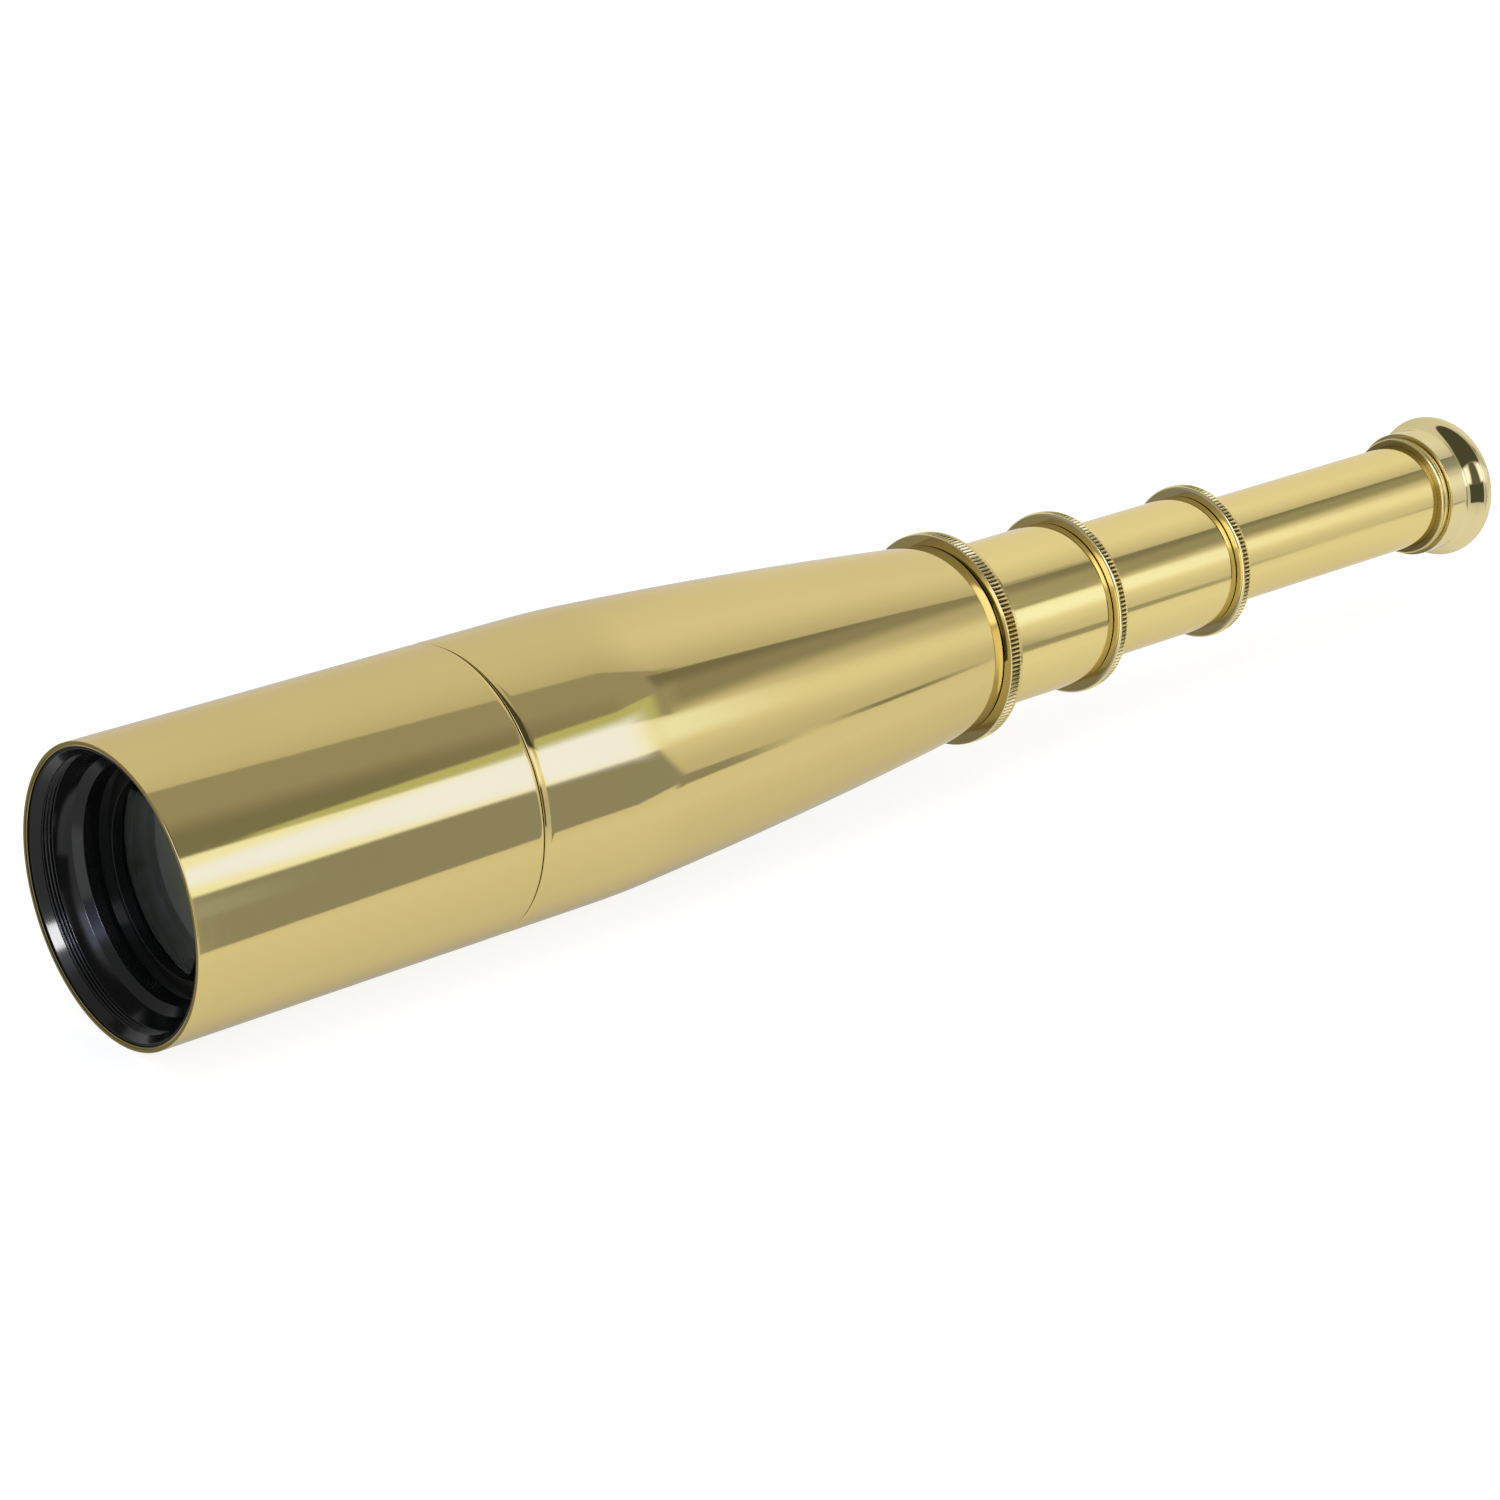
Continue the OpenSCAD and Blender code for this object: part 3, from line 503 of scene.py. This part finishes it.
bendShare = taperShape["bend"] / 2 / long
t = np.linspace(0, 1, taperShape["bendSteps"])
bend = np.stack([shoulder + taperShape["bend"] * (t - 0.5),
                 radius - (radius - bowedRadius(bendShare)) * t ** 2], -1)
u = np.linspace(bendShare, 1, taperShape["coneSteps"])[1:]
cone = np.stack([shoulder + long * u, bowedRadius(u)], -1)
endCut, endStep, endRadius = (taperShape[key] for key in ("endCut", "endStep", "endRadius"))
cone[-1, 0] -= endCut  # room for the softened edge at the end
rounded = quarterArc(start + tubeShape["roundedEdge"], radius - tubeShape["drop"],
                     tubeShape["roundedEdge"], tubeShape["drop"], 180, 90, 16)
inner = np.concatenate([bend, cone])[::-6] - [0, wall]  # every sixth point, going back
outline = np.concatenate([
    rounded, [[rounded[-1, 0] + tubeShape["roundedFlat"], radius]], bend, cone,
    [[end - endStep, endRadius - endStep], [end, endRadius - endCut],
     [end, endRadius - wall]], inner, [[start, bore]]])
meshPiece("rearShell", turnedGrid(outline, tubeShape["around"]), "barrel", "tapered_barrel",
          finishes["barrelBrass"])
print("barrel made")

# mm: radii and places, counted from the cell's front or, for seatDepth, from its back. The
# thread fades in and out over threadFade, and threadPower above 1 makes its grooves narrow.
cellShape = {"mouth": 28.35, "thread": (1.7, 4.4), "threadRadius": 27.05, "throat": 25.35,
             "throatEnd": 7.36, "bore": 23.53, "boreStart": 8.86, "seat": 21.53,
             "seatDepth": 1.6, "pitch": 0.75, "threadDepth": 0.42, "threadFade": 0.35,
             "threadPower": 1.2, "threadSteps": 91, "around": 288}

start, end, radius = extent("lens_cell")
s = cellShape
steps = s["threadSteps"]
threadX = start + np.linspace(*s["thread"], steps)
mouthEdge = softened([(start, radius, 0.08), (start, s["mouth"], 0.1),
                      (start + s["thread"][0], s["threadRadius"], 0)])
mouthEdge = mouthEdge[:-1]
wallPoints = np.stack([threadX, np.full(steps, s["threadRadius"])], -1)
rest = softened([
    (threadX[-1], s["threadRadius"], 0), (start + s["throatEnd"], s["throat"], 0.08),
    (start + s["boreStart"], s["bore"], 0.12), (end - s["seatDepth"], s["bore"], 0.05),
    (end - s["seatDepth"], s["seat"], 0.05), (end, s["seat"], 0.1), (end, radius, 0.1),
    (start, radius, 0)])[1:-1]
outline = np.concatenate([mouthEdge, wallPoints, rest])
t = np.arange(s["around"]) / s["around"]
# the thread is a helix: a triangle wave of x over pitch plus one turn per revolution, raised
# to a power, added to the radius and faded in and out over threadFade at both ends
phase = (outline[:, :1] / s["pitch"] + t[None, :]) % 1
wave = s["threadDepth"] * np.abs(2 * phase - 1) ** s["threadPower"]
inThread = np.clip((outline[:, :1] - threadX[0]) / s["threadFade"], 0, 1) * np.clip(
    (threadX[-1] - outline[:, :1]) / s["threadFade"], 0, 1)
inThread[:len(mouthEdge)] = 0
inThread[len(mouthEdge) + steps:] = 0
cell = meshPiece("threadedCell", turnedGrid(outline, s["around"], wave * inThread), "barrel",
                 "lens_cell", finishes["blackAnodised"])

# mm: how deep the ring's front is dished, and the radius of its opening
ringShape = {"dish": 0.8, "opening": 19.95, "around": 256}

start, end, radius = extent("retaining_ring")
outline = softened([(start, radius, 0.08), (start + ringShape["dish"], ringShape["opening"], 0.1),
                    (end, ringShape["opening"], 0.05), (end, radius, 0.05)])
meshPiece("dishedRing", turnedGrid(outline, ringShape["around"]), "barrel", "retaining_ring",
          finishes["blackAnodised"])

lensShape = {"face": 89.5, "steps": 40, "around": 192}  # face: radius of both balls, mm

start, end, radius = extent("objective_crown")
rise = np.linspace(0, radius, lensShape["steps"])
sag = lensShape["face"] - np.sqrt(lensShape["face"] ** 2 - rise ** 2)
outline = np.concatenate([np.stack([start + sag, rise], -1),
                          np.stack([end - sag, rise], -1)[::-1]])
meshPiece("frontLens", turnedGrid(outline, lensShape["around"]), "barrel", "objective_crown",
          finishes["coatedGlass"], closedLoop=False, poles=True)

# a softbox in front of the mouth, for the cell alone: the bevel inside the rim shows it as a
# short white glint. Reach and angle are counted as in the studio, from aim on the bevel.
glint = {"reach": -0.735, "angle": 134, "distance": 2.0, "wide": 0.56, "high": 0.26,
         "energy": 14.0, "aim": (0.001, 0.0225, -0.0165)}

turn = math.radians(glint["angle"])
slope = math.sqrt(1 - glint["reach"] ** 2)
away = Vector((glint["reach"], slope * math.cos(turn), slope * math.sin(turn)))
along = Vector((0, -math.sin(turn), math.cos(turn)))
across = away.cross(along)
glintLamp = bpy.data.lights.new("mouthSoftbox", "AREA")
glintLamp.shape = "RECTANGLE"
glintLamp.size = glint["wide"]
glintLamp.size_y = glint["high"]
glintLamp.energy = glint["energy"]
glintObject = bpy.data.objects.new("mouthSoftbox", glintLamp)
glintObject.matrix_world = Matrix.Translation(
    Vector(glint["aim"]) + away * glint["distance"]) @ Matrix(
        (along, across, away)).transposed().to_4x4()
glintObject.visible_diffuse = False
glintObject.visible_camera = False
bpy.context.scene.collection.objects.link(glintObject)
litByGlint = bpy.data.collections.new("litBySoftbox")
litByGlint.objects.link(cell)
glintObject.light_linking.receiver_collection = litByGlint
print("objective made")

# mm: width and height of the rounded corner in front of the knurl, the plain lip behind it,
# and the tube that slides through the collar
collarShapes = {
    "barrel_collar": {"body": "barrel", "name": "barrelCollar", "corner": (0.2, 0.35),
                      "lip": 0.65, "tube": "first_draw_tube"},
    "first_collar": {"body": "first_draw", "name": "firstCollar", "corner": (0.5, 1.15),
                     "lip": 0.25, "tube": "second_draw_tube"},
    "second_collar": {"body": "second_draw", "name": "secondCollar", "corner": (0.5, 1.15),
                      "lip": 0.25, "tube": "eyepiece_draw_tube"},
}
knurlShape = {
    "pitch": 1.0, "depth": 0.5,  # mm, from tooth to tooth and from tip to valley
    "lipDrop": 0.12,  # mm from the tips down to the plain lips beside the knurl
    "sharpness": 1.25, "perTooth": 8,  # power of the valley, points around one tooth
    "toothEnd": 0.12,  # mm over which a tooth rises at its ends
    "bareFaceAndSheen": -0.7,  # paleness of the face in front of the knurl, rubbed brass with a painted sheen, where a ridge has -1
}
risingRows = np.array([0, 0.03, 0.08, 0.14])  # mm from the knurl's end
# mm: the spigot screws into the tube in front, its bore clears the draw by room, and the
# collar's mouth clears it by mouthRoom
spigotShape = {"long": 6.0, "wall": 0.5, "room": 0.61, "mouthRoom": 0.09, "mouthLong": 0.8}

for node, shape in collarShapes.items():
    start, end, tip = extent(node)
    drawRadius = extent(shape["tube"])[2]
    seat = drawRadius + spigotShape["room"]
    spigotRadius = seat + spigotShape["wall"]
    mouthRadius = drawRadius + spigotShape["mouthRoom"]
    mouth = end - spigotShape["mouthLong"]
    face = start + spigotShape["long"]
    wide, high = shape["corner"]
    lipRadius = tip - knurlShape["lipDrop"]
    knurlFrom, knurlTo = face + wide, end - shape["lip"]
    corner = quarterArc(knurlFrom, tip - high, wide, high - knurlShape["lipDrop"], 180, 90, 8)
    # rows of points stand close together where the teeth rise at both ends of the knurl
    knurlX = np.concatenate([knurlFrom + risingRows, (knurlTo - risingRows)[::-1]])
    knurlRows = np.stack([knurlX, np.full(len(knurlX), lipRadius)], -1)
    outline = np.concatenate([
        softened([(start, seat, 0.05), (start, spigotRadius, 0.1),
                  (face, spigotRadius, 0)])[:-1],
        [[face, spigotRadius]], [[face, tip - high - 0.15]], corner[:-1], knurlRows,
        softened([(knurlTo, lipRadius, 0), (end, lipRadius, 0.1), (end, mouthRadius, 0.05),
                  (mouth, mouthRadius, 0), (mouth, seat, 0), (start, seat, 0)])[1:-1]])
    teeth = round(2 * np.pi * tip / knurlShape["pitch"])
    around = teeth * knurlShape["perTooth"]
    turned = np.arange(around) / knurlShape["perTooth"]
    # the valley between two teeth is a power of the sine: depth times sin(pi turn) ** sharpness
    valley = np.abs(np.sin(np.pi * turned)) ** knurlShape["sharpness"]
    ridge = knurlShape["lipDrop"] - knurlShape["depth"] * valley
    middle = (outline[:, 0] - (knurlFrom + knurlTo) / 2)[:, None]
    risen = np.clip(((knurlTo - knurlFrom) / 2 - np.abs(middle)) / knurlShape["toothEnd"],
                    0, 1)
    onKnurl = np.zeros((len(outline), 1))
    first = int(np.argmin(np.abs(outline[:, 0] - knurlFrom - risingRows[1])
                          + np.abs(outline[:, 1] - lipRadius))) - 1
    onKnurl[first:first + len(knurlX)] = 1
    offset = ridge[None, :] * risen * onKnurl
    # the turned face in front of the knurl is paler, as the ridges are: rubbed brass with a
    # painted sheen
    inFront = (outline[:, :1] < knurlFrom - 0.001) & (outline[:, 1:] > spigotRadius - 0.01)
    bareFaceAndSheen = knurlShape["bareFaceAndSheen"] * inFront
    meshPiece(shape["name"], turnedGrid(outline, around, offset), shape["body"], node,
              finishes["barrelBrass" if node == "barrel_collar" else "drawBrass"],
              groove=(2 * valley[None, :] - 1) * risen * onKnurl + bareFaceAndSheen * np.ones(around))
print("collars made")

tubeNames = {"first_draw_tube": ("first_draw", "firstDrawTube"),
             "second_draw_tube": ("second_draw", "secondDrawTube"),
             "eyepiece_draw_tube": ("eyepiece_draw", "eyepieceDrawTube")}
drawShape = {"wall": 0.8, "frontCut": 0.15, "rearCut": 0.1, "boreCut": 0.08, "around": 256}

for node, (body, tubeName) in tubeNames.items():
    start, end, radius = extent(node)
    bore = radius - drawShape["wall"]
    outline = softened([(start, bore, drawShape["boreCut"]),
                        (start, radius, drawShape["frontCut"]),
                        (end, radius, drawShape["rearCut"]), (end, bore, drawShape["boreCut"])])
    meshPiece(tubeName, turnedGrid(outline, drawShape["around"]), body, node,
              finishes["drawBrass"])

# mm, with the darkening of the groove and front face, tarnished brass with painted shade, and the
# paleness of the crests, rubbed brass with a painted highlight
neckShape = {"room": 0.03, "deep": 0.4, "lip": 0.2, "tarnishAndShade": 0.45, "bareAndSheen": -0.3,
             "around": 224}

start, end, radius = extent("neck_ring")
inner = extent("eyepiece_draw_tube")[2] + neckShape["room"]
low = radius - neckShape["deep"]
quarter = (end - start) / 4
outline = softened([
    (start, inner, 0.05), (start, low, 0.05), (start + quarter / 2, radius, 0.12),
    (start + quarter, radius, 0.1), (start + quarter * 1.3, low, 0.06),
    (start + quarter * 1.7, low, 0.06), (start + quarter * 2, radius, 0.1),
    (end - neckShape["lip"], radius, 0.1), (end, low, 0.05), (end, inner, 0.05)],
    support=0.03, steps=3)
# the front face and the groove are darkened, tarnished brass with painted shade, and the two
# crests are paler, rubbed brass with a painted highlight
tarnishAndShade = np.where(outline[:, 1] < low + 0.1, neckShape["tarnishAndShade"],
                   neckShape["bareAndSheen"])[:, None] * np.ones(neckShape["around"])
meshPiece("groovedRing", turnedGrid(outline, neckShape["around"]), "eyepiece_draw",
          "neck_ring", finishes["drawBrass"], groove=tarnishAndShade)

# mm: radii and lengths, lean above 1 moves the flare back, and turn is how far round the
# rim's arc goes in degrees past its crest
cupShape = {"neck": 14.95, "rim": 17.1, "neckLong": 4.9, "reach": 4.4, "round": 4.0,
            "lean": 1.2, "hollow": 5.0, "hole": 6.0, "holeWall": 1.2, "bore": 13.45, "turn": 50,
            "around": 256}

start, end, radius = extent("eyepiece_cup")
s = cupShape
u = np.linspace(0, 1, 41)[1:]
flareFrom, flareTo = start + s["neckLong"], end - s["reach"]
rising = (1 - np.cos(np.pi * u ** s["lean"])) / 2
flare = np.stack([flareFrom + (flareTo - flareFrom) * u,
                  s["neck"] + (s["rim"] - s["neck"]) * rising], -1)
rim = quarterArc(flareTo, s["rim"] - s["round"], s["reach"], s["round"], 90, -s["turn"], 40)[1:]
neck = softened([(start, s["bore"], 0.05), (start, s["neck"], 0.22), (flareFrom, s["neck"], 0)])
inside = softened([
    (*rim[-1], 0), (end - s["hollow"], s["hole"], 0.25),
    (end - s["hollow"] - s["holeWall"], s["hole"], 0.1),
    (end - s["hollow"] - s["holeWall"], s["bore"], 0.05), (start, s["bore"], 0)])[1:-1]
outline = np.concatenate([neck, flare, rim, inside])
meshPiece("flaredCup", turnedGrid(outline, s["around"]), "eyepiece_draw", "eyepiece_cup",
          finishes["cupBrass"])
print("draws, neck ring and cup made")

keptFinishes = {
    "blackAnodised": ["barrel_baffle", "erector_spacer", "erector_ring", "eyepiece_spacer",
                      "eye_lens_ring"],
    "blackenedBrass": ["coupling_sleeve", "lens_spacer", "barrel_guide", "first_draw_stop",
                       "first_guide", "second_draw_stop", "second_guide", "eyepiece_draw_stop",
                       "erector_cell", "eyepiece_cell", "barrel_end_ring", "first_end_ring",
                       "second_end_ring"],
    "coatedGlass": ["objective_flint", "erector_front_lens", "erector_rear_lens", "field_lens",
                    "eye_lens"],
}
for finish, names in keptFinishes.items():
    for name in names:
        nodes[name].data.materials.clear()
        nodes[name].data.materials.append(finishes[finish])
print("finishes put on the kept nodes")

# metres; glow and paint are how much light it gives and takes, shade how far from the floor
# it grows darker in the metal, down to shadeTone
floorShape = {"size": 6.0, "height": -0.0301, "glow": 0.82, "paint": 0.30,
              "shade": 0.04, "shadeTone": 0.72}

floorMesh = bpy.data.meshes.new("paleFloor")
half = floorShape["size"] / 2
floorMesh.from_pydata([(x, y, floorShape["height"]) for x, y in
                       ((-half, -half), (half, -half), (half, half), (-half, half))],
                      [], [(0, 1, 2, 3)])
floor = bpy.data.objects.new("paleFloor", floorMesh)
bpy.context.scene.collection.objects.link(floor)
material = bpy.data.materials.new("paleFloor")
material.use_nodes = True
tree = material.node_tree
tree.nodes.clear()
paint = floorShape["paint"]
matt = addNode(tree, "ShaderNodeBsdfDiffuse", links={"Color": (paint, paint, paint, 1)})
glow = addNode(tree, "ShaderNodeEmission", links={
    "Color": (1, 1, 1, 1), "Strength": floorShape["glow"]})
lit = addNode(tree, "ShaderNodeAddShader", links={0: matt.outputs[0], 1: glow.outputs[0]})
# metal looks through the floor into the studio, less bright where the object shades it
shade = addNode(tree, "ShaderNodeAmbientOcclusion", {"samples": 6}, {
    "Distance": floorShape["shade"]})
dimmed = addNode(tree, "ShaderNodeMapRange", links={
    "Value": shade.outputs["AO"], "To Min": floorShape["shadeTone"], "To Max": 1.0})
through = addNode(tree, "ShaderNodeBsdfTransparent", links={"Color": dimmed.outputs[0]})
ray = addNode(tree, "ShaderNodeLightPath")
surface = addNode(tree, "ShaderNodeMixShader", links={
    0: ray.outputs["Is Glossy Ray"], 1: lit.outputs[0], 2: through.outputs[0]})
addNode(tree, "ShaderNodeOutputMaterial", links={"Surface": surface.outputs[0]})
floorMesh.materials.append(material)
print("floor made")
